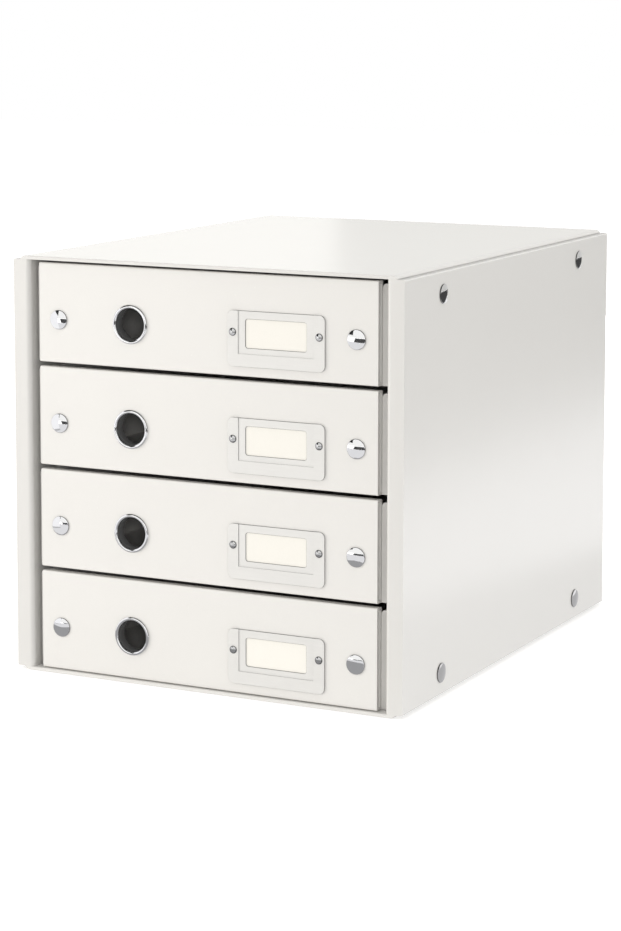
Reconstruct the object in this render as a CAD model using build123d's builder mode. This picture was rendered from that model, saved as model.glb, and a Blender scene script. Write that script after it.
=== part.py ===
from build123d import *
import os

os.makedirs("parts", exist_ok=True)

# Frame: X to the right, Y to the back, Z up, origin on the floor under the middle of the case.

# Case, measured over its boards: the stud heads on the sides stand proud of the width
case_width = 287.0
case_height = 282.0
case_depth = 358.0

# Wrap: one folded board that is the top, the back and the bottom of the case
wrap_board = 2.4
wrap_fold_radius = 4.0
wrap_edge_radius = 3.5
wrap_lip_radius = 0.8
wrap_flange = 30.0
wrap_flange_setback = 20.0
wrap_groove = 0.3

# Side walls: a board folded back on itself at the front, so that its front edge is a hollow post
side_thickness = 12.3
side_outer_wall = 4.5
side_inner_wall = 2.4
side_front_wall = 2.4
side_edge_radius = 1.0
side_back_radius = 2.0
post_outer_radius = 4.2
post_inner_radius = 3.0

# Shelves between the drawers, tabbed into slots in the inner walls
shelf_board = 2.0
shelf_setback = 20.0
shelf_side_gap = 0.2
shelf_tab = 40.0
shelf_tab_shares = (0.25, 0.75)
shelf_slot_gap = 0.1

# Press studs: a domed cap with a shank that snaps into a socket behind the boards
stud_cap_radius = 6.5
stud_cap_height = 1.5
stud_cap_rim = 0.35
stud_shank_radius = 2.0
stud_shank_gap = 0.15
stud_shank_end = 1.4
stud_socket_radius = 5.0
stud_socket_height = 2.2
stud_socket_edge = 0.5
side_stud_inset = 17.0
side_stud_setback = 59.5

# Drawers, from the floor up
drawer_names = ("bottom_drawer", "lower_drawer", "upper_drawer", "top_drawer")
drawer_gap_under = 0.3
drawer_room_over_top = 1.2

# Drawer front: a folded board with an outer and an inner skin, open at both ends
front_recess = 2.0
front_thickness = 6.8
front_skin = 1.8
front_side_gap = 6.5
front_gap_under = 0.5
front_gap_over = 0.5
front_edge_radius = 1.1
front_stud_inset = 15.0
front_fittings_share = 0.433

# Drawer tray: base, rolled side and back walls, and two tabs turned in behind the front
tray_side_gap = 1.5
tray_back_gap = 6.0
tray_base = 2.0
tray_wall = 4.8
tray_drop = 2.2
tray_rim_radius = 1.9
tray_corner_radius = 2.4
tray_tab = 2.0
tray_tab_past_stud = 10.0

# Finger ring: a rolled metal eyelet through both skins of the front, with a washer behind
ring_outer_radius = 13.2
ring_inner_radius = 10.5
ring_barrel_wall = 1.0
ring_barrel_gap = 0.2
ring_bead = 1.4
ring_stud_spacing = 54.9
washer_thickness = 0.8

# Label holder: a metal plate with a sunk field around its window, and a card slot open at the top
label_width = 70.0
label_height = 36.3
label_corner_radius = 4.0
label_lift = 6.4
label_stud_spacing = 21.8
label_plate = 1.1
label_edge_radius = 0.25
field_width = 54.3
field_height = 28.0
field_depth = 0.4
field_bevel = 0.25
window_width = 43.8
window_height = 18.7
window_drop = 5.3
window_corner_radius = 1.6
slot_depth = 0.3
slot_rim = 1.5
card_thickness = 0.22
card_side_gap = 0.6
card_top_gap = 0.8
rivet_spacing = 62.1
rivet_drop = 14.0
rivet_head_radius = 2.6
rivet_head_height = 0.85
rivet_head_rim = 0.2
rivet_shank_radius = 1.2
rivet_shank_gap = 0.1

# Overrun of every cut past the faces that it opens
overrun = 1.0

# Faces of the case that the other pieces are set against
front_y = -case_depth / 2
back_y = case_depth / 2
back_board_y = back_y - wrap_board
outer_x = case_width / 2
outer_wall_x = outer_x - side_outer_wall
wrap_x = outer_wall_x - wrap_groove
flange_x = wrap_x - wrap_board
bay_x = outer_x - side_thickness
lining_x = bay_x + side_inner_wall
lining_back_y = back_y - wrap_fold_radius
ceiling_z = case_height - wrap_board

# Heights of the bays
drawer_count = len(drawer_names)
stack_height = ceiling_z - wrap_board - drawer_room_over_top + shelf_board
bay_pitch = stack_height / drawer_count
floors = [wrap_board + bay_pitch * bay for bay in range(drawer_count)]

# Places of the shelves and of their tabs
shelf_front_y = front_y + shelf_setback
shelf_depth = back_board_y - shelf_front_y
shelf_middle_y = (shelf_front_y + back_board_y) / 2
shelf_middles = [floor - shelf_board / 2 for floor in floors[1:]]
shelf_tab_middles = [shelf_front_y + shelf_depth * share for share in shelf_tab_shares]

# Places of the studs on a side wall
side_stud_places = [
    (along, height)
    for along in (front_y + side_stud_setback, back_y - side_stud_setback)
    for height in (side_stud_inset, case_height - side_stud_inset)
]
side_grip = side_outer_wall + wrap_groove + wrap_board

# Faces and places that all drawer fronts share
front_face_y = front_y + front_recess
front_inner_y = front_face_y + front_thickness
front_x = bay_x - front_side_gap
front_height = bay_pitch - shelf_board - front_gap_under - front_gap_over
front_stud_x = front_x - front_stud_inset
fittings_height = front_height * front_fittings_share
ring_offset = front_stud_x - ring_stud_spacing
label_offset = front_stud_x - label_stud_spacing - label_width / 2

# Faces that all drawer trays share
tray_x = bay_x - tray_side_gap
tray_back_y = back_board_y - tray_back_gap
tray_depth = tray_back_y - front_inner_y
tray_inner_x = tray_x - tray_wall
tab_inner_x = front_stud_x - tray_tab_past_stud
front_grip = front_thickness + tray_tab

# Places on the label holder, from the middle of its plate
field_middle = (label_height - field_height) / 2
window_middle = (0, label_height / 2 - window_drop - window_height / 2)
rivet_points = [(side * rivet_spacing / 2, label_height / 2 - rivet_drop) for side in (-1, 1)]
slot_width = field_width - 2 * slot_rim
slot_height = field_height - slot_rim
card_width = slot_width - 2 * card_side_gap
card_height = slot_height - card_side_gap - card_top_gap


def write_piece(piece, name):
    piece.part.label = name
    export_step(piece.part, f"parts/{name}.step")


def profile_plane(seat):
    # x runs out from the axis of a turned piece, y along the normal of the face that it sits on
    return Plane(origin=seat.origin, x_dir=seat.x_dir, z_dir=-seat.y_dir)


def stud_caps(name, seats, grip):
    with BuildPart() as caps:
        for seat in seats:
            with BuildSketch(profile_plane(seat)):
                with BuildLine():
                    shank_foot = -grip - stud_shank_end
                    Polyline(
                        (0, stud_cap_height),
                        (0, shank_foot),
                        (stud_shank_radius, shank_foot),
                        (stud_shank_radius, 0),
                        (stud_cap_radius, 0),
                        (stud_cap_radius, stud_cap_rim),
                    )
                    TangentArc((0, stud_cap_height), (stud_cap_radius, stud_cap_rim), tangent=(1, 0))
                make_face()
            revolve(axis=Axis(seat.origin, seat.z_dir))
    write_piece(caps, name)


def stud_sockets(name, seats):
    bore = stud_shank_radius + stud_shank_gap
    with BuildPart() as sockets:
        for seat in seats:
            with BuildSketch(profile_plane(seat)) as section:
                with Locations(((bore + stud_socket_radius) / 2, stud_socket_height / 2)):
                    Rectangle(stud_socket_radius - bore, stud_socket_height)
                fillet(section.vertices().group_by(Axis.Y)[-1].sort_by(Axis.X)[-1], stud_socket_edge)
            revolve(axis=Axis(seat.origin, seat.z_dir))
    write_piece(sockets, name)


# Wrap: rounded along its folds and at its lips, hollow, with flanges folded in behind the side walls
with BuildPart() as case_wrap:
    with BuildSketch():
        Rectangle(2 * wrap_x, case_depth)
    extrude(amount=case_height)
    fillet(case_wrap.edges().filter_by(Axis.X).group_by(Axis.Y)[-1], wrap_fold_radius)
    fillet(case_wrap.edges().filter_by(Axis.Y), wrap_edge_radius)
    fillet(case_wrap.faces().sort_by(Axis.Y)[0].edges(), wrap_lip_radius)
    with BuildSketch(Plane.YZ.offset(-flange_x)) as hollow:
        with Locations(((front_y - overrun + back_board_y) / 2, case_height / 2)):
            Rectangle(back_board_y - front_y + overrun, ceiling_z - wrap_board)
        fillet(hollow.vertices().group_by(Axis.X)[-1], wrap_fold_radius - wrap_board)
    extrude(amount=2 * flange_x, mode=Mode.SUBTRACT)
    with BuildSketch(Plane.YZ.offset(-outer_x)):
        with Locations(((front_y - overrun + back_board_y) / 2, case_height / 2)):
            Rectangle(back_board_y - front_y + overrun, case_height - 2 * wrap_flange)
        with Locations((front_y + (wrap_flange_setback - overrun) / 2, case_height / 2)):
            Rectangle(wrap_flange_setback + overrun, ceiling_z - wrap_board)
        with Locations(*side_stud_places):
            Circle(stud_shank_radius + stud_shank_gap)
    extrude(amount=case_width, mode=Mode.SUBTRACT)
write_piece(case_wrap, "case_wrap")

# Side walls: the right one is drawn, the left one is its mirror image
with BuildPart() as right_side_panel:
    with BuildSketch(Plane.XY.offset(wrap_board)) as plan:
        with BuildLine():
            Polyline(
                (outer_wall_x, back_y),
                (outer_x, back_y),
                (outer_x, front_y),
                (bay_x, front_y),
                (bay_x, lining_back_y),
                (lining_x, lining_back_y),
                (lining_x, front_y + side_front_wall),
                (outer_wall_x, front_y + side_front_wall),
                close=True,
            )
        make_face()
        post_corners = plan.vertices().group_by(Axis.Y)[0].sort_by(Axis.X)
        fillet(post_corners[0], post_inner_radius)
        fillet(post_corners[-1], post_outer_radius)
        fillet(plan.vertices().group_by(Axis.Y)[-1].sort_by(Axis.X)[-1], side_back_radius)
    extrude(amount=ceiling_z - wrap_board)
    fillet(right_side_panel.edges().filter_by(Axis.Y).group_by(Axis.X)[-1], side_edge_radius)
    with BuildSketch(Plane.YZ.offset(outer_wall_x - overrun)):
        with Locations(*side_stud_places):
            Circle(stud_shank_radius + stud_shank_gap)
    extrude(amount=side_outer_wall + 2 * overrun, mode=Mode.SUBTRACT)
    with BuildSketch(Plane.YZ.offset(bay_x - overrun)):
        with Locations(*[(along, height) for along in shelf_tab_middles for height in shelf_middles]):
            Rectangle(shelf_tab + 2 * shelf_slot_gap, shelf_board + 2 * shelf_slot_gap)
    extrude(amount=side_inner_wall + 2 * overrun, mode=Mode.SUBTRACT)
write_piece(right_side_panel, "right_side_panel")

with BuildPart() as left_side_panel:
    mirror(right_side_panel.part, about=Plane.YZ)
write_piece(left_side_panel, "left_side_panel")

# Studs that hold the side walls to the flanges of the wrap
for side, hand in ((-1, "left"), (1, "right")):
    cap_seats = [
        Plane(origin=(side * outer_x, along, height), x_dir=(0, 0, 1), z_dir=(side, 0, 0))
        for along, height in side_stud_places
    ]
    socket_seats = [
        Plane(origin=(side * flange_x, along, height), x_dir=(0, 0, 1), z_dir=(-side, 0, 0))
        for along, height in side_stud_places
    ]
    stud_caps(f"{hand}_side_stud_caps", cap_seats, side_grip)
    stud_sockets(f"{hand}_side_stud_sockets", socket_seats)

# Shelves, one under each drawer but the lowest
for name, middle in zip(("lower_shelf", "middle_shelf", "upper_shelf"), shelf_middles):
    with BuildPart() as shelf:
        with BuildSketch(Plane.XY.offset(middle - shelf_board / 2)):
            with Locations((0, shelf_middle_y)):
                Rectangle(2 * (bay_x - shelf_side_gap), shelf_depth)
            with Locations(*[(0, along) for along in shelf_tab_middles]):
                Rectangle(2 * lining_x, shelf_tab)
        extrude(amount=shelf_board)
    write_piece(shelf, name)


def drawer_front(name, bottom_z, stud_points, label_seat):
    ring_point = (-ring_offset, bottom_z + fittings_height)
    section = Plane(
        origin=(-front_x, front_face_y + front_thickness / 2, bottom_z + front_height / 2),
        x_dir=(0, 1, 0),
        z_dir=(1, 0, 0),
    )
    through = Plane(origin=(0, front_face_y - overrun, 0), x_dir=(1, 0, 0), z_dir=(0, -1, 0))
    with BuildPart() as front:
        with BuildSketch(section) as fold:
            Rectangle(front_thickness, front_height)
            fillet(fold.vertices(), front_edge_radius)
            Rectangle(front_thickness - 2 * front_skin, front_height - 2 * front_skin, mode=Mode.SUBTRACT)
        extrude(amount=2 * front_x)
        with BuildSketch(through):
            with Locations(*stud_points):
                Circle(stud_shank_radius + stud_shank_gap)
            with Locations(ring_point):
                Circle(ring_inner_radius + ring_barrel_wall + ring_barrel_gap)
        extrude(amount=-(front_thickness + 2 * overrun), mode=Mode.SUBTRACT)
        with BuildSketch(label_seat):
            with Locations(*rivet_points):
                Circle(rivet_shank_radius + rivet_shank_gap)
        extrude(amount=-(front_skin + overrun), mode=Mode.SUBTRACT)
    write_piece(front, f"{name}_front")


def drawer_tray(name, base_z, front_bottom_z, stud_points):
    wall_top_z = front_bottom_z + front_height - tray_drop
    tab_top_z = wall_top_z - tray_rim_radius
    with BuildPart() as tray:
        with BuildSketch(Plane.XY.offset(base_z)) as walls:
            with Locations((0, (front_inner_y + tray_back_y) / 2)):
                Rectangle(2 * tray_x, tray_depth)
            fillet(walls.vertices().group_by(Axis.Y)[-1], tray_corner_radius)
        extrude(amount=wall_top_z - base_z)
        with BuildSketch(Plane.XY.offset(base_z + tray_base)):
            with Locations((0, (front_inner_y + tray_back_y - tray_wall - overrun) / 2)):
                Rectangle(2 * tray_inner_x, tray_depth - tray_wall + overrun)
        extrude(amount=wall_top_z - base_z, mode=Mode.SUBTRACT)
        rim = tray.faces().filter_by(Axis.Z).sort_by(Axis.Z)[-1].edges()
        fillet(rim.filter_by(lambda edge: edge.center().Y > front_inner_y + overrun), tray_rim_radius)
        with BuildSketch(Plane.XY.offset(base_z + tray_base)):
            for side in (-1, 1):
                with Locations((side * (tab_inner_x + tray_inner_x) / 2, front_inner_y + tray_tab / 2)):
                    Rectangle(tray_inner_x - tab_inner_x, tray_tab)
        extrude(amount=tab_top_z - base_z - tray_base)
        with BuildSketch(Plane.XZ.offset(-front_inner_y + overrun)):
            with Locations(*stud_points):
                Circle(stud_shank_radius + stud_shank_gap)
        extrude(amount=-(tray_tab + 2 * overrun), mode=Mode.SUBTRACT)
    write_piece(tray, f"{name}_tray")


def finger_ring(name, ring_seat):
    barrel_radius = ring_inner_radius + ring_barrel_wall
    barrel_foot = -front_thickness - washer_thickness
    bead_middle = (ring_inner_radius + ring_outer_radius) / 2
    with BuildPart() as ring:
        with BuildSketch(profile_plane(ring_seat)):
            with BuildLine():
                Polyline(
                    (ring_inner_radius, 0),
                    (ring_inner_radius, barrel_foot),
                    (barrel_radius, barrel_foot),
                    (barrel_radius, 0),
                    (ring_outer_radius, 0),
                )
                ThreePointArc((ring_outer_radius, 0), (bead_middle, ring_bead), (ring_inner_radius, 0))
            make_face()
        revolve(axis=Axis(ring_seat.origin, ring_seat.z_dir))
    write_piece(ring, f"{name}_finger_ring")
    with BuildPart() as washer:
        with BuildSketch(ring_seat.offset(-front_thickness)):
            Circle(ring_outer_radius)
            Circle(barrel_radius + ring_barrel_gap, mode=Mode.SUBTRACT)
        extrude(amount=-washer_thickness)
    write_piece(washer, f"{name}_ring_washer")


def label_holder(name, seat):
    with BuildPart() as frame:
        with BuildSketch(seat):
            RectangleRounded(label_width, label_height, label_corner_radius)
        extrude(amount=label_plate)
        plate_face = frame.faces().filter_by(Axis.Y).sort_by(Axis.Y)[0]
        fillet(plate_face.edges(), label_edge_radius)
        with BuildSketch(seat.offset(label_plate - field_depth)):
            with Locations((0, field_middle + overrun / 2)):
                Rectangle(field_width, field_height + overrun)
        extrude(amount=field_depth + overrun, mode=Mode.SUBTRACT)
        with BuildSketch(seat):
            with Locations((0, field_middle + (slot_rim + overrun) / 2)):
                Rectangle(slot_width, slot_height + overrun)
        extrude(amount=slot_depth, mode=Mode.SUBTRACT)
        with BuildSketch(seat):
            with Locations(window_middle):
                RectangleRounded(window_width, window_height, window_corner_radius)
            with Locations(*rivet_points):
                Circle(rivet_shank_radius + rivet_shank_gap)
        extrude(amount=label_plate + overrun, mode=Mode.SUBTRACT)
        field = frame.faces().filter_by(Axis.Y).sort_by(Axis.Y)[1]
        chamfer([field.edges().sort_by(Axis.Z)[-1], *field.inner_wires()[0].edges()], field_bevel)
    write_piece(frame, f"{name}_label_frame")
    with BuildPart() as card:
        with BuildSketch(seat):
            with Locations((0, label_height / 2 - card_top_gap - card_height / 2)):
                Rectangle(card_width, card_height)
        extrude(amount=card_thickness)
    write_piece(card, f"{name}_label_card")
    with BuildPart() as rivets:
        for across, up in rivet_points:
            rivet_seat = Plane(
                origin=seat.from_local_coords((across, up, label_plate)),
                x_dir=seat.x_dir,
                z_dir=seat.z_dir,
            )
            with BuildSketch(profile_plane(rivet_seat)):
                with BuildLine():
                    Polyline(
                        (0, rivet_head_height),
                        (0, -label_plate - front_skin),
                        (rivet_shank_radius, -label_plate - front_skin),
                        (rivet_shank_radius, 0),
                        (rivet_head_radius, 0),
                        (rivet_head_radius, rivet_head_rim),
                    )
                    TangentArc((0, rivet_head_height), (rivet_head_radius, rivet_head_rim), tangent=(1, 0))
                make_face()
            revolve(axis=Axis(rivet_seat.origin, rivet_seat.z_dir))
    write_piece(rivets, f"{name}_label_rivets")


# The four drawers
for name, floor in zip(drawer_names, floors):
    front_bottom_z = floor + front_gap_under
    fittings_z = front_bottom_z + fittings_height
    facing = {"x_dir": (1, 0, 0), "z_dir": (0, -1, 0)}
    stud_points = [(side * front_stud_x, fittings_z) for side in (-1, 1)]
    label_seat = Plane(
        origin=(label_offset, front_face_y, front_bottom_z + label_lift + label_height / 2),
        **facing,
    )
    ring_seat = Plane(origin=(-ring_offset, front_face_y, fittings_z), **facing)
    cap_seats = [Plane(origin=(across, front_face_y, up), **facing) for across, up in stud_points]
    socket_seats = [
        Plane(origin=(across, front_face_y + front_grip, up), x_dir=(1, 0, 0), z_dir=(0, 1, 0))
        for across, up in stud_points
    ]
    drawer_front(name, front_bottom_z, stud_points, label_seat)
    drawer_tray(name, floor + drawer_gap_under, front_bottom_z, stud_points)
    finger_ring(name, ring_seat)
    label_holder(name, label_seat)
    stud_caps(f"{name}_stud_caps", cap_seats, front_grip)
    stud_sockets(f"{name}_stud_sockets", socket_seats)
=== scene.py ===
import math
import bpy
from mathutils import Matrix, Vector


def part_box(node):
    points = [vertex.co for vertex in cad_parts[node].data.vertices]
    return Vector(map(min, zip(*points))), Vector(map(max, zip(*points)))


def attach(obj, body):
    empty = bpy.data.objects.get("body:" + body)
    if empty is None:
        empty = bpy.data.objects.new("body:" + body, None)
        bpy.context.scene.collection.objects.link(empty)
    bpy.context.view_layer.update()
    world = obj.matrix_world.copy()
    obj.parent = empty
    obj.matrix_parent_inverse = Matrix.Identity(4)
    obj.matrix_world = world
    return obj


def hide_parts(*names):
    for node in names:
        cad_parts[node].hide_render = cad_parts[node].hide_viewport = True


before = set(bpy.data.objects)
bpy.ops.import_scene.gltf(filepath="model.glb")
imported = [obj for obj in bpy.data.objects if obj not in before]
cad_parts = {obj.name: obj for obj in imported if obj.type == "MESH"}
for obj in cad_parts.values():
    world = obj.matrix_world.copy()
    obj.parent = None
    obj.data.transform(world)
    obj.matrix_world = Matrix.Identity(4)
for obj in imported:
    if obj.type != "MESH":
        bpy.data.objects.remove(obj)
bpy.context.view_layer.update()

# Studio: the cabinet stands on white paper in a white surround. Softboxes at the left, above, at the right
# and behind light it, with a small fill beside the camera. Dark flags and white cards, which only reflections
# see, put the bands of a real studio on the polished metal and the satin boards.


class Wire:
    """A socket in a node tree. A sum or product of wires and numbers adds its Math nodes to the tree."""

    def __init__(self, tree, socket=None):
        self.tree = tree
        self.socket = socket

    def node(self, kind, settings=None, sockets=None, out=0):
        node = self.tree.nodes.new(kind)
        for name, value in (settings or {}).items():
            setattr(node, name, value)
        for name, value in (sockets or {}).items():
            if isinstance(value, Wire):
                self.tree.links.new(value.socket, node.inputs[name])
            else:
                node.inputs[name].default_value = value
        return Wire(self.tree, node.outputs[out] if len(node.outputs) else None)

    def other(self, out):
        return Wire(self.tree, self.socket.node.outputs[out])

    def maths(self, operation, *terms):
        return self.node("ShaderNodeMath", {"operation": operation}, dict(enumerate(terms)))

    def __add__(self, term):
        return self.maths("ADD", self, term)

    __radd__ = __add__

    def __sub__(self, term):
        return self.maths("SUBTRACT", self, term)

    def __rsub__(self, term):
        return self.maths("SUBTRACT", term, self)

    def __mul__(self, term):
        return self.maths("MULTIPLY", self, term)

    __rmul__ = __mul__

    def __truediv__(self, term):
        return self.maths("DIVIDE", self, term)

    def __rtruediv__(self, term):
        return self.maths("DIVIDE", term, self)

    def clamped(self, lowest, highest):
        return self.maths("MINIMUM", self.maths("MAXIMUM", self, lowest), highest)


def new_finish(name):
    material = bpy.data.materials.new(name)
    material.use_nodes = True
    material.node_tree.nodes.clear()
    return material, Wire(material.node_tree)


def seen_directly(wire):
    """1 for what the camera, reflections and glass see, and 0 for the light that matt faces get."""

    path = wire.node("ShaderNodeLightPath")
    rays = path.other("Is Camera Ray") + path.other("Is Glossy Ray") + path.other("Is Transmission Ray")
    return rays.clamped(0.0, 1.0)


def split(wire, vector):
    return wire.node("ShaderNodeSeparateXYZ", {}, {"Vector": vector})


def new_piece(name, mesh):
    piece = bpy.data.objects.new(name, mesh)
    bpy.context.scene.collection.objects.link(piece)
    return piece


surround_level = 0.5
surround = bpy.data.worlds.new("studio_surround")
surround.use_nodes = True
surround.node_tree.nodes.clear()
wire = Wire(surround.node_tree)
level = surround_level + seen_directly(wire) * (1.0 - surround_level)
backdrop = wire.node("ShaderNodeBackground", {}, {"Color": (1.0, 1.0, 1.0, 1.0), "Strength": level})
wire.node("ShaderNodeOutputWorld", {}, {"Surface": backdrop})
bpy.context.scene.world = surround

floor_half = 6.0
floor_drop = 0.0002
floor_mesh = bpy.data.meshes.new("studio_floor")
floor_signs = ((-1, -1), (1, -1), (1, 1), (-1, 1))
floor_corners = [(x * floor_half, y * floor_half, -floor_drop) for x, y in floor_signs]
floor_mesh.from_pydata(floor_corners, [], [(0, 1, 2, 3)])
case_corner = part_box("right_side_panel")[1]
shadow_reach = 0.06
shadow_fade = 0.4
shadow_level = 0.42
open_rise = 0.44
bounce_reach = 0.25
bounce_level = 0.23
floor_white, wire = new_finish("studio_floor_white")
paper = wire.node("ShaderNodeBsdfDiffuse", {}, {"Color": (0.8, 0.8, 0.795, 1.0)})
spot = split(wire, wire.node("ShaderNodeTexCoord").other("Object"))
clear = wire.maths(
    "MAXIMUM",
    wire.maths("ABSOLUTE", spot.other("X")) - case_corner[0],
    wire.maths("ABSOLUTE", spot.other("Y")) - case_corner[1],
)
open_floor = ((clear - shadow_reach) / shadow_fade).clamped(0.0, 1.0)
# Near the case the paper also glows a little for matt faces: a painted bounce light on the cabinet's lower
# parts.
bounce = bounce_level * (1.0 - (clear / bounce_reach).clamped(0.0, 1.0))
seen = seen_directly(wire)
level = seen * (shadow_level + open_rise * open_floor) + (1.0 - seen) * bounce
glow = wire.node("ShaderNodeEmission", {}, {"Strength": level})
sweep = wire.node("ShaderNodeAddShader", {}, {0: paper, 1: glow})
wire.node("ShaderNodeOutputMaterial", {}, {"Surface": sweep})
floor_white.cycles.emission_sampling = "NONE"
floor_mesh.materials.append(floor_white)
floor = new_piece("studio_floor", floor_mesh)

aim_height = 0.14
neutral = (1.0, 0.99, 0.98)
for name, place, aim, width, height, power, colour in (
    ("left_softbox", (-1.25, -1.0, 0.38), (0.0, -0.1, aim_height), 1.2, 0.7, 13.6, (1.0, 0.97, 0.93)),
    ("top_softbox", (0.3, -0.3, 1.8), (0.0, 0.0, aim_height), 1.5, 1.5, 10.0, (1.0, 0.99, 0.97)),
    ("right_softbox", (1.7, 0.1, 0.3), (0.14, 0.0, aim_height), 1.0, 1.0, 11.0, neutral),
    ("back_softbox", (-0.7, 1.7, 0.35), (0.0, 0.18, aim_height), 1.0, 0.7, 8.0, neutral),
    ("camera_fill", (0.83, -1.7, 0.48), (0.0, 0.0, aim_height), 0.2, 0.2, 5.2, neutral),
):
    lamp = bpy.data.lights.new(name, "AREA")
    lamp.shape = "RECTANGLE"
    lamp.size = width
    lamp.size_y = height
    lamp.energy = power
    lamp.color = colour
    softbox = bpy.data.objects.new(name, lamp)
    softbox.location = place
    softbox.rotation_euler = (Vector(aim) - Vector(place)).to_track_quat("-Z", "Y").to_euler()
    softbox.visible_camera = False
    softbox.visible_glossy = False
    bpy.context.scene.collection.objects.link(softbox)


def place_card(name, corners, level, colour=(1.0, 1.0, 1.03, 1.0)):
    cloth, wire = new_finish(name)
    even = wire.node("ShaderNodeEmission", {}, {"Color": colour, "Strength": level})
    wire.node("ShaderNodeOutputMaterial", {}, {"Surface": even})
    cloth.cycles.emission_sampling = "NONE"
    mesh = bpy.data.meshes.new(name)
    mesh.from_pydata(corners, [], [tuple(range(len(corners)))])
    mesh.materials.append(cloth)
    card = new_piece(name, mesh)
    card.visible_camera = False
    card.visible_diffuse = False
    card.visible_transmission = False
    card.visible_volume_scatter = False
    card.visible_shadow = False


def upright(start, end, height):
    return [(*start, 0.0), (*end, 0.0), (*end, height), (*start, height)]


on_floor = 0.001
over_card = 0.0014
over_shade = 0.002
front_shade_outline = (
    (-0.35, -0.29), (-0.18, -0.3), (-0.03, -0.42), (0.06, -0.42), (0.22, -0.3), (0.2, -0.17), (-0.3, -0.17)
)
for name, level, lift, outline in (
    ("front_floor_flag", 0.07, on_floor, ((-0.45, -1.05), (1.4, -1.05), (3.0, -3.6), (-1.65, -3.6))),
    ("front_floor_card", 0.8, on_floor, ((-1.2, -1.04), (0.48, -1.04), (0.48, -0.2), (-1.2, -0.2))),
    ("right_floor_flag", 0.1, on_floor, ((0.49, -1.04), (4.0, -1.04), (4.0, 5.0), (0.49, 5.0))),
    ("right_floor_card", 1.45, on_floor, ((0.2, -0.1), (0.488, -0.1), (0.488, 1.4), (0.2, 1.4))),
    ("front_shade", 0.35, over_card, front_shade_outline),
    ("right_shade", 0.75, over_card, ((0.14, -0.3), (0.3, -0.1), (0.27, 0.09), (0.21, 0.37), (0.14, 0.5))),
    ("left_card_foot", 0.5, over_shade, ((-0.33, -0.53), (-0.6, -0.2), (-0.54, -0.16), (-0.28, -0.48))),
):
    place_card(name, [(x, y, lift) for x, y in outline], level)
left_card_corners = [(-0.33, -0.53, 0.0), (-0.33, -0.53, 0.27), (-0.6, -0.2, 0.63), (-0.6, -0.2, 0.0)]
place_card("left_card", left_card_corners, 1.0)
warm = (1.0, 0.99, 0.96, 1.0)
place_card("back_left_card", upright((-1.8, 1.28), (-0.62, 1.28), 1.1), 1.42, warm)
place_card("back_card", upright((-0.62, 1.28), (0.35, 1.28), 1.1), 1.06, warm)
place_card("right_flag", upright((2.2, -1.6), (2.2, 1.0), 2.2), 0.05)
place_card("ceiling_flag", [(-2.4, -2.4, 2.3), (2.4, -2.4, 2.3), (2.4, 2.4, 2.3), (-2.4, 2.4, 2.3)], 0.05)
flag_distance = 3.0
flag_corners = []
for azimuth, elevation in ((-30.5, 5.0), (-30.5, 45.0), (-85.0, 45.0), (-85.0, 5.0)):
    turn, rise = math.radians(azimuth), math.radians(elevation)
    direction = Vector((math.sin(turn) * math.cos(rise), -math.cos(turn) * math.cos(rise), math.sin(rise)))
    flag_corners.append(direction * flag_distance + Vector((0.0, 0.0, aim_height)))
place_card("upper_left_flag", flag_corners, 0.03)

# Camera: it has a long lens and stands off the cabinet's front right corner, a little above it, at the
# photograph's viewing angle. The lens is shifted to frame the cabinet, as on a studio camera.

camera = bpy.data.cameras.new("photo_camera")
camera.lens = 103.445
camera.sensor_width = 36.0
camera.shift_y = -0.1702
camera.clip_start = 0.05
camera_place = (0.83184, -1.67492, 0.46163)
camera_tilt, camera_roll, camera_heading = 83.1118, -0.0692, 26.7457
viewpoint = bpy.data.objects.new("photo_camera", camera)
viewpoint.location = camera_place
viewpoint.rotation_euler = [math.radians(angle) for angle in (camera_tilt, camera_roll, camera_heading)]
bpy.context.scene.collection.objects.link(viewpoint)
bpy.context.scene.camera = viewpoint

# Wrap and shelves: the wrap is one white coated board, folded into the top, the back and the bottom. Three
# shelves of the same board sit in slots of the side walls. The paper face is satin and finely embossed, and
# the cut edges at the sides show the grey core. The same grey on the steep part of the wrap's rounded side
# edges is painted shade, for the groove where the top meets the side walls.


def noise(wire, place, scale, detail, roughness=0.5):
    sockets = {"Vector": place, "Scale": scale, "Detail": detail, "Roughness": roughness}
    return wire.node("ShaderNodeTexNoise", {}, sockets)


def blended(wire, share, colour, other_colour):
    sockets = {"Factor": share, 6: colour, 7: other_colour}
    return wire.node("ShaderNodeMix", {"data_type": "RGBA"}, sockets, out=2)


def shaded(wire, colour, shade):
    grey = wire.node("ShaderNodeCombineColor", {}, {0: shade, 1: shade, 2: shade})
    settings = {"data_type": "RGBA", "blend_type": "MULTIPLY"}
    return wire.node("ShaderNodeMix", settings, {"Factor": 1.0, 6: colour, 7: grey}, out=2)


def bumped(wire, height, strength, depth):
    return wire.node("ShaderNodeBump", {}, {"Strength": strength, "Distance": depth, "Height": height})


def coat(wire, sockets):
    shader = wire.node("ShaderNodeBsdfPrincipled", {}, sockets)
    wire.node("ShaderNodeOutputMaterial", {}, {"Surface": shader})


def faces_along_axis(axis, start):
    """The mask of the faces that look along one axis: a board's cut edges, and also the steep part of its
    rounded edges.
    """

    return lambda facing, spot: ((facing.other(axis) * facing.other(axis) - start) * 8.0).clamped(0.0, 1.0)


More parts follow.
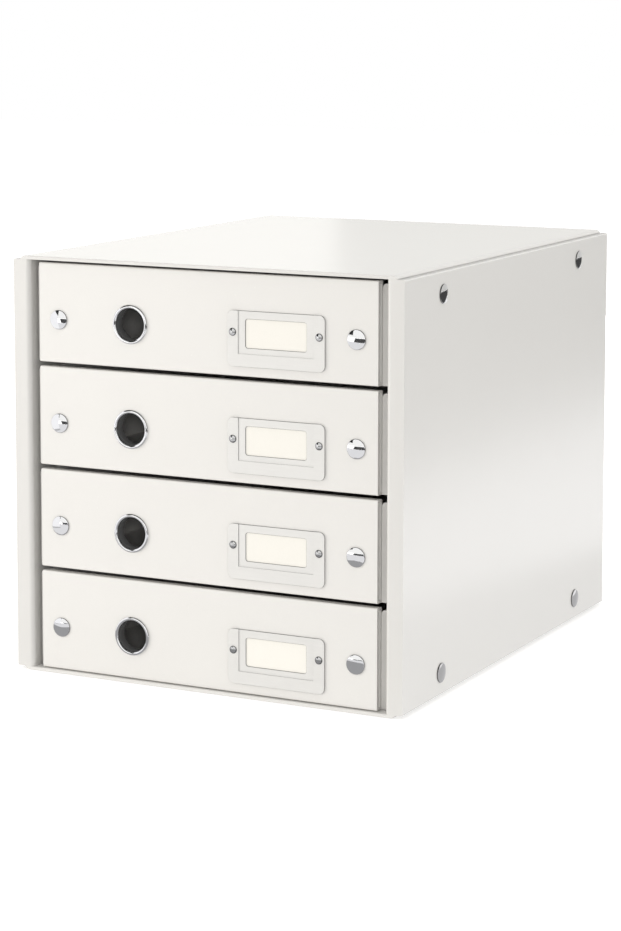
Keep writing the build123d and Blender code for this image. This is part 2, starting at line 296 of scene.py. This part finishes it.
def board_finish(name, colour, second_colour, roughness, emboss_scale, second_mask):
    """Coated board: a satin, finely embossed face, and a duller second colour where the given mask is 1."""

    material, wire = new_finish(name)
    place = wire.node("ShaderNodeTexCoord").other("Object")
    facing = split(wire, wire.node("ShaderNodeTexCoord").other("Normal"))
    second_share = second_mask(facing, split(wire, place))
    cloudy = noise(wire, place, 14.0, 3.0, 0.55)
    fibres = noise(wire, place, 620.0, 2.0, 0.6)
    waves = noise(wire, place, 21.0, 1.0)
    emboss = wire.node(
        "ShaderNodeTexVoronoi", {"feature": "SMOOTH_F1"}, {"Vector": place, "Scale": emboss_scale}
    )
    shade = 0.978 + 0.02 * cloudy + 0.02 * fibres
    relief = emboss * 0.6 + fibres * 0.4 + waves * 9.0
    coat(
        wire,
        {
            "Base Color": shaded(wire, blended(wire, second_share, colour, second_colour), shade),
            "Roughness": roughness + 0.015 * (fibres - 0.5) + second_share * 0.3,
            "IOR": 1.58,
            "Normal": bumped(wire, relief, 0.1, 0.000008),
        },
    )
    return material


def dress(node, material):
    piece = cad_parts[node]
    piece.data.materials.clear()
    piece.data.materials.append(material)


wrap_white = board_finish(
    "wrap_board_white",
    colour=(0.725, 0.713, 0.688, 1.0),
    second_colour=(0.46, 0.45, 0.43, 1.0),
    roughness=0.24,
    emboss_scale=1500.0,
    # Painted shade, in part: besides the cut edges this mask takes the steep part of the wrap's rounded side
    # edges, whose grey stands for the shade of the groove beside the side walls.
    second_mask=faces_along_axis("X", 0.74),
)
for node in ("case_wrap", "lower_shelf", "middle_shelf", "upper_shelf"):
    dress(node, wrap_white)

# Side walls: two boards of the same make, each folded back on itself at the front round a hollow post. Press
# studs hold them to the wrap. Their cut edges lie at the top and the bottom and are only a little darker;
# that grey also takes the steep part of the rounded top edge and is partly painted shade for the groove under
# the wrap.

side_white = board_finish(
    "side_board_white",
    colour=(0.715, 0.704, 0.68, 1.0),
    second_colour=(0.66, 0.649, 0.627, 1.0),
    roughness=0.24,
    emboss_scale=1500.0,
    # Painted shade, in part: this grey on the top and bottom edges also stands for the shade in the groove
    # under the wrap.
    second_mask=faces_along_axis("Z", 0.82),
)
for node in ("left_side_panel", "right_side_panel"):
    dress(node, side_white)

# Drawer fronts: hollow folded boards with an outer and an inner skin. Their ends are open and show the raw
# grey core. Two press studs hold each front to its tray.

drawers = ("bottom_drawer", "lower_drawer", "upper_drawer", "top_drawer")
front_white = board_finish(
    "drawer_board_white",
    colour=(0.775, 0.761, 0.733, 1.0),
    second_colour=(0.55, 0.54, 0.52, 1.0),
    roughness=0.27,
    emboss_scale=1500.0,
    second_mask=faces_along_axis("X", 0.82),
)
for drawer in drawers:
    dress(f"{drawer}_front", front_white)

# Trays: deep board trays with walls that are rolled over at the top, and two tabs that go into the front.
# The outside is white paper, less glossy than the case, and the inside has a lighter matt lining.

tray_low, tray_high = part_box("top_drawer_tray")
tray_middle = (tray_low[1] + tray_high[1]) / 2


def lined(facing, spot):
    """The mask of a tray's lining, which is on the faces that look up or towards the tray's middle."""

    outward = facing.other("X") * spot.other("X") + facing.other("Y") * (spot.other("Y") - tray_middle)
    return (facing.other("Z") - outward * 400.0).clamped(0.0, 1.0)


tray_white = board_finish(
    "tray_board_white",
    colour=(0.75, 0.736, 0.709, 1.0),
    second_colour=(0.86, 0.848, 0.825, 1.0),
    roughness=0.42,
    emboss_scale=1300.0,
    second_mask=lined,
)
for drawer in drawers:
    dress(f"{drawer}_tray", tray_white)

# Press studs: low domed caps of polished metal with a rolled edge, each on a shank that snaps into a steel
# socket behind the boards. Four hold each side wall to the wrap and two hold each drawer front to its tray.


def chrome_finish(name, colour, roughness, scuff, rim_shade_start=0.72):
    """Polished metal: along the profile attribute the colour is painted darker from a given share on, as
    painted shade where a rolled rim meets the board and inside a ring's barrel, and past 1 the metal is dull
    and a little darker still.
    """

    material, wire = new_finish(name)
    place = wire.node("ShaderNodeTexCoord").other("Object")
    haze = noise(wire, place, 260.0, 3.0)
    lines = noise(wire, place, 1900.0, 2.0)
    along = wire.node("ShaderNodeAttribute", {"attribute_name": "profile"}).other("Fac")
    # Painted shade: the rolled rim of a cap and a ring's barrel are darkened for the shadow where they meet
    # the board or sink into the hole.
    rim_shade = ((along - rim_shade_start) * 9.0).clamped(0.0, 1.0)
    barrel_dull_and_shaded = (along - 1.0).clamped(0.0, 1.0)
    shade = (0.97 + 0.06 * (haze - 0.5)) * (1.0 - 0.78 * rim_shade - 0.05 * barrel_dull_and_shaded)
    worn = scuff * (haze - 0.4) + scuff * 0.5 * (lines - 0.5)
    coat(
        wire,
        {
            "Base Color": shaded(wire, colour, shade),
            "Metallic": 1.0 - barrel_dull_and_shaded,
            "Roughness": (roughness + worn + 0.5 * barrel_dull_and_shaded).clamped(0.02, 1.0),
            "Normal": bumped(wire, lines, 0.05, 0.00002),
        },
    )
    return material


def new_tree(name, sizes):
    tree = bpy.data.node_groups.new(name, "GeometryNodeTree")
    tree.interface.new_socket("Geometry", in_out="INPUT", socket_type="NodeSocketGeometry")
    for size in sizes:
        tree.interface.new_socket(size, in_out="INPUT", socket_type="NodeSocketFloat")
    tree.interface.new_socket("Facing", in_out="INPUT", socket_type="NodeSocketVector")
    tree.interface.new_socket("Finish", in_out="INPUT", socket_type="NodeSocketMaterial")
    tree.interface.new_socket("Geometry", in_out="OUTPUT", socket_type="NodeSocketGeometry")
    return tree, Wire(tree).node("NodeGroupInput")


def rolled_sheet(wire, around, rings, radius_at, height_at, profile_start=0.0):
    """A sheet rolled round Z, with its radius and height at each share of the way along its profile."""

    sheet = wire.node(
        "GeometryNodeMeshGrid",
        {},
        {"Size X": 1.0, "Size Y": 1.0, "Vertices X": around + 1, "Vertices Y": rings + 1},
    )
    spot = split(wire, wire.node("GeometryNodeInputPosition"))
    angle = (spot.other("X") + 0.5) * math.tau
    share = 0.5 - spot.other("Y")
    radius = radius_at(share)
    place = wire.node(
        "ShaderNodeCombineXYZ",
        {},
        {0: radius * wire.maths("COSINE", angle), 1: radius * wire.maths("SINE", angle), 2: height_at(share)},
    )
    marked = wire.node(
        "GeometryNodeStoreNamedAttribute",
        {"data_type": "FLOAT", "domain": "POINT"},
        {"Geometry": sheet, "Name": "profile", "Value": share + profile_start},
    )
    rolled = wire.node("GeometryNodeSetPosition", {}, {"Geometry": marked, "Position": place})
    sewn = wire.node("GeometryNodeMergeByDistance", {}, {"Geometry": rolled, "Distance": 1e-6})
    return wire.node("GeometryNodeSetShadeSmooth", {}, {"Geometry": sewn})


def rod(wire, around, radius, length):
    bar = wire.node(
        "GeometryNodeMeshCylinder",
        {"fill_type": "NGON"},
        {"Vertices": around, "Radius": radius, "Depth": length},
    )
    middle = wire.node("ShaderNodeCombineXYZ", {}, {2: length * -0.5})
    return wire.node("GeometryNodeTransform", {}, {"Geometry": bar, "Translation": middle})


def set_on_seats(wire, shapes):
    """Ends a tree: the joined shapes stand on every seat, turned to face outwards."""

    joined = wire.node("GeometryNodeJoinGeometry")
    for shape in shapes:
        wire.tree.links.new(shape.socket, joined.socket.node.inputs[0])
    points = wire.node("GeometryNodeMeshToPoints", {}, {"Mesh": wire.other("Geometry")})
    turned = wire.node(
        "GeometryNodeInstanceOnPoints",
        {},
        {"Points": points, "Instance": joined, "Rotation": wire.other("Facing")},
    )
    real = wire.node("GeometryNodeRealizeInstances", {}, {"Geometry": turned})
    lighter_outer_rim = wire.node("GeometryNodeSetMaterial", {}, {"Geometry": real, "Material": wire.other("Finish")})
    wire.node("NodeGroupOutput", {}, {"Geometry": lighter_outer_rim})


def made_by(tree, name, seats, values):
    """The plain mesh that a tree makes on these seats with these sizes."""

    mesh = bpy.data.meshes.new(name + "_seats")
    mesh.from_pydata([tuple(seat) for seat in seats], [], [])
    holder = new_piece(name + "_seats", mesh)
    maker = holder.modifiers.new("maker", "NODES")
    maker.node_group = tree
    for item in tree.interface.items_tree:
        if item.in_out == "INPUT" and item.name in values:
            maker[item.identifier] = values[item.name]
    ready = holder.evaluated_get(bpy.context.evaluated_depsgraph_get())
    made = bpy.data.meshes.new_from_object(ready)
    made.name = name
    holder.modifiers.remove(maker)
    bpy.data.objects.remove(holder)
    return new_piece(name, made)


def corners_of(node):
    return [Vector(corner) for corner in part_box(node)]


stud_tree, wire = new_tree(
    "domed_stud",
    ("Cap Radius", "Cap Height", "Edge Radius", "Edge Slope", "Shank Radius", "Shank Length"),
)
cap_radius, cap_height, cap_edge = (wire.other(size) for size in ("Cap Radius", "Cap Height", "Edge Radius"))
edge_start = wire.other("Edge Slope")
edge_end = math.radians(155.0)
dome_share = 0.7
edge_inset = wire.maths("SINE", edge_start)
dome_radius = cap_radius - cap_edge * (1.0 - edge_inset)
dome_height = cap_height - cap_edge * (wire.maths("COSINE", edge_start) - math.cos(edge_end))


def edge_turn(share):
    rolled = ((share - dome_share) / (1.0 - dome_share)).clamped(0.0, 1.0)
    return edge_start + rolled * (edge_end - edge_start)


def dome_step(share):
    return (share / dome_share).clamped(0.0, 1.0)


def cap_radius_at(share):
    return dome_radius * dome_step(share) + cap_edge * (wire.maths("SINE", edge_turn(share)) - edge_inset)


def cap_height_at(share):
    dome = dome_height * (1.0 - dome_step(share) * dome_step(share))
    return dome + cap_edge * (wire.maths("COSINE", edge_turn(share)) - math.cos(edge_end))


cap = rolled_sheet(wire, around=64, rings=30, radius_at=cap_radius_at, height_at=cap_height_at)
shank = rod(wire, 24, wire.other("Shank Radius"), wire.other("Shank Length"))
set_on_seats(wire, [cap, shank])

stud_chrome = chrome_finish("polished_stud", (0.92, 0.92, 0.915, 1.0), roughness=0.05, scuff=0.04)
# Painted shade: the side studs are the same polished studs, given a darker copy of the chrome for the shade
# on the cabinet's sides.
shaded_side_chrome = chrome_finish("side_stud_chrome_painted_shade", (0.54, 0.535, 0.525, 1.0), roughness=0.07, scuff=0.05)
stud_steel = chrome_finish("stud_socket_steel", (0.62, 0.62, 0.61, 1.0), roughness=0.3, scuff=0.1)
stud_rise = 0.0015
side_radius = 0.0065
stud_sizes = {
    "Cap Height": stud_rise,
    "Edge Radius": 0.00042,
    "Edge Slope": math.radians(15.0),
    "Shank Radius": 0.002,
}
facing_front = (math.pi / 2, 0.0, 0.0)
for hand, side in (("left", -1), ("right", 1)):
    low, high = corners_of(f"{hand}_side_stud_caps")
    face_x = (low.x + stud_rise) if side < 0 else (high.x - stud_rise)
    rows = (low.y + side_radius, high.y - side_radius)
    levels = (low.z + side_radius, high.z - side_radius)
    caps = made_by(
        stud_tree,
        f"{hand}_side_studs",
        [(face_x, y, z) for y in rows for z in levels],
        {
            **stud_sizes,
            "Cap Radius": side_radius,
            "Shank Length": high.x - low.x - stud_rise,
            "Facing": (0.0, side * math.pi / 2, 0.0),
            "Finish": shaded_side_chrome,
        },
    )
    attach(caps, "cabinet")
    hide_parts(f"{hand}_side_stud_caps")
    dress(f"{hand}_side_stud_sockets", stud_steel)
for drawer in drawers:
    low, high = corners_of(f"{drawer}_stud_caps")
    radius = (high.z - low.z) / 2
    caps = made_by(
        stud_tree,
        f"{drawer}_studs",
        [(x, low.y + stud_rise, low.z + radius) for x in (low.x + radius, high.x - radius)],
        {
            **stud_sizes,
            "Cap Radius": radius,
            "Shank Length": high.y - low.y - stud_rise,
            "Facing": facing_front,
            "Finish": stud_chrome,
        },
    )
    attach(caps, drawer)
    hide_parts(f"{drawer}_stud_caps")
    dress(f"{drawer}_stud_sockets", stud_steel)

# Finger rings: a chromed eyelet is pushed through each front, rolled over into a round bead outside and
# pressed against a flat steel washer inside. The barrel behind the bead is left dull, and is painted dark
# as the shade inside the hole.

ring_tree, wire = new_tree(
    "rolled_ring",
    ("Inner Radius", "Outer Radius", "Bead", "Barrel Radius", "Barrel Length"),
)
ring_inner, ring_outer, bead = (wire.other(size) for size in ("Inner Radius", "Outer Radius", "Bead"))
barrel_radius = wire.other("Barrel Radius")
barrel_foot = -1.0 * wire.other("Barrel Length")
bead_middle = (ring_inner + ring_outer) * 0.5
bead_half = (ring_outer - ring_inner) * 0.5
ring_around = 96
# The barrel's profile starts here: its metal is dull and painted dark, as painted shade inside the hole.
dull_and_shaded_start = 2.0
rolled_bead = rolled_sheet(
    wire,
    ring_around,
    rings=28,
    radius_at=lambda share: bead_middle - bead_half * wire.maths("COSINE", share * math.pi),
    height_at=lambda share: bead * wire.maths("SINE", share * math.pi),
)
barrel_inside = rolled_sheet(
    wire,
    ring_around,
    rings=4,
    radius_at=lambda share: ring_inner,
    height_at=lambda share: barrel_foot * (1.0 - share),
    profile_start=dull_and_shaded_start,
)
barrel_outside = rolled_sheet(
    wire,
    ring_around,
    rings=4,
    radius_at=lambda share: barrel_radius,
    height_at=lambda share: barrel_foot * share,
    profile_start=dull_and_shaded_start,
)
barrel_end = rolled_sheet(
    wire,
    ring_around,
    rings=2,
    radius_at=lambda share: barrel_radius + (ring_inner - barrel_radius) * share,
    height_at=lambda share: barrel_foot,
    profile_start=dull_and_shaded_start,
)
set_on_seats(wire, [rolled_bead, barrel_inside, barrel_outside, barrel_end])

ring_chrome = chrome_finish(
    "polished_ring", (0.92, 0.92, 0.915, 1.0), roughness=0.06, scuff=0.04, rim_shade_start=1.5
)
ring_hole_radius = 0.0105
ring_barrel_wall = 0.001
ring_bead = 0.0014
for drawer in drawers:
    low, high = corners_of(f"{drawer}_finger_ring")
    ring = made_by(
        ring_tree,
        f"{drawer}_ring",
        [((low.x + high.x) / 2, low.y + ring_bead, (low.z + high.z) / 2)],
        {
            "Inner Radius": ring_hole_radius,
            "Outer Radius": (high.z - low.z) / 2,
            "Bead": ring_bead,
            "Barrel Radius": ring_hole_radius + ring_barrel_wall,
            "Barrel Length": high.y - low.y - ring_bead,
            "Facing": facing_front,
            "Finish": ring_chrome,
        },
    )
    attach(ring, drawer)
    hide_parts(f"{drawer}_finger_ring")
    dress(f"{drawer}_ring_washer", stud_steel)

# Label holders: a metal plate in satin silver lacquer with bare cut edges, held by two small domed rivets.
# The cut edges are painted darker than bare metal, as painted shade that draws the plate's outlines, and less
# so on the outer rim. An ivory card slides in from above behind the sunk field and shows in the window.


def plate_finish(name, colour, edge_and_shade_colour, middle, outer_rim_from):
    material, wire = new_finish(name)
    place = wire.node("ShaderNodeTexCoord").other("Object")
    drawn = wire.node("ShaderNodeMapping", {}, {"Vector": place, "Scale": (14.0, 600.0, 600.0)})
    streaks = noise(wire, drawn, 3.0, 4.0, 0.65)
    cloudy = noise(wire, place, 55.0, 2.0)
    facing = split(wire, wire.node("ShaderNodeTexCoord").other("Normal")).other("Y")
    across = wire.maths("ABSOLUTE", split(wire, place).other("X") - middle)
    # Painted shade: the side-facing cut edges get a colour much darker than bare metal, to draw the plate's
    # outlines; the outer rim gets only 60% of it.
    lighter_outer_rim = 0.4 * ((across - outer_rim_from) * 400.0).clamped(0.0, 1.0)
    second_share = ((0.8 - facing * facing) * 2.5).clamped(0.0, 1.0) * (1.0 - lighter_outer_rim)
    lacquer = shaded(wire, colour, 0.95 + 0.07 * (streaks - 0.5) + 0.05 * cloudy)
    coat(
        wire,
        {
            "Base Color": blended(wire, second_share, lacquer, edge_and_shade_colour),
            "Metallic": 0.12 + 0.88 * second_share,
            "Roughness": 0.38 + 0.16 * (streaks - 0.5),
            "Normal": bumped(wire, streaks, 0.12, 0.00003),
        },
    )
    return material


def card_finish(name, colour):
    material, wire = new_finish(name)
    place = wire.node("ShaderNodeTexCoord").other("Object")
    pulp = noise(wire, place, 480.0, 4.0, 0.7)
    cloudy = noise(wire, place, 40.0, 2.0)
    coat(
        wire,
        {
            "Base Color": shaded(wire, colour, 0.975 + 0.025 * pulp + 0.012 * cloudy),
            "Roughness": 0.75 + 0.1 * (pulp - 0.5),
            "Normal": bumped(wire, pulp, 0.15, 0.00004),
        },
    )
    return material


plate_low, plate_high = corners_of("top_drawer_label_frame")
plate_silver = plate_finish(
    "label_plate_silver",
    colour=(0.79, 0.781, 0.757, 1.0),
    edge_and_shade_colour=(0.24, 0.24, 0.235, 1.0),
    middle=(plate_low.x + plate_high.x) / 2,
    outer_rim_from=0.029,
)
card_ivory = card_finish("label_card_ivory", (0.875, 0.852, 0.79, 1.0))
rivet_steel = chrome_finish(
    "rivet_head_steel", (0.68, 0.68, 0.67, 1.0), roughness=0.13, scuff=0.05, rim_shade_start=0.55
)
for drawer in drawers:
    dress(f"{drawer}_label_frame", plate_silver)
    dress(f"{drawer}_label_card", card_ivory)
    low, high = corners_of(f"{drawer}_label_rivets")
    radius = (high.z - low.z) / 2
    plate_face = corners_of(f"{drawer}_label_frame")[0].y
    rivets = made_by(
        stud_tree,
        f"{drawer}_rivets",
        [(x, plate_face, low.z + radius) for x in (low.x + radius, high.x - radius)],
        {
            "Cap Radius": radius,
            "Cap Height": plate_face - low.y,
            "Edge Radius": 0.00015,
            "Edge Slope": math.radians(24.0),
            "Shank Radius": 0.0012,
            "Shank Length": high.y - plate_face,
            "Facing": facing_front,
            "Finish": rivet_steel,
        },
    )
    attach(rivets, drawer)
    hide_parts(f"{drawer}_label_rivets")

bpy.context.scene.view_settings.view_transform = "Standard"
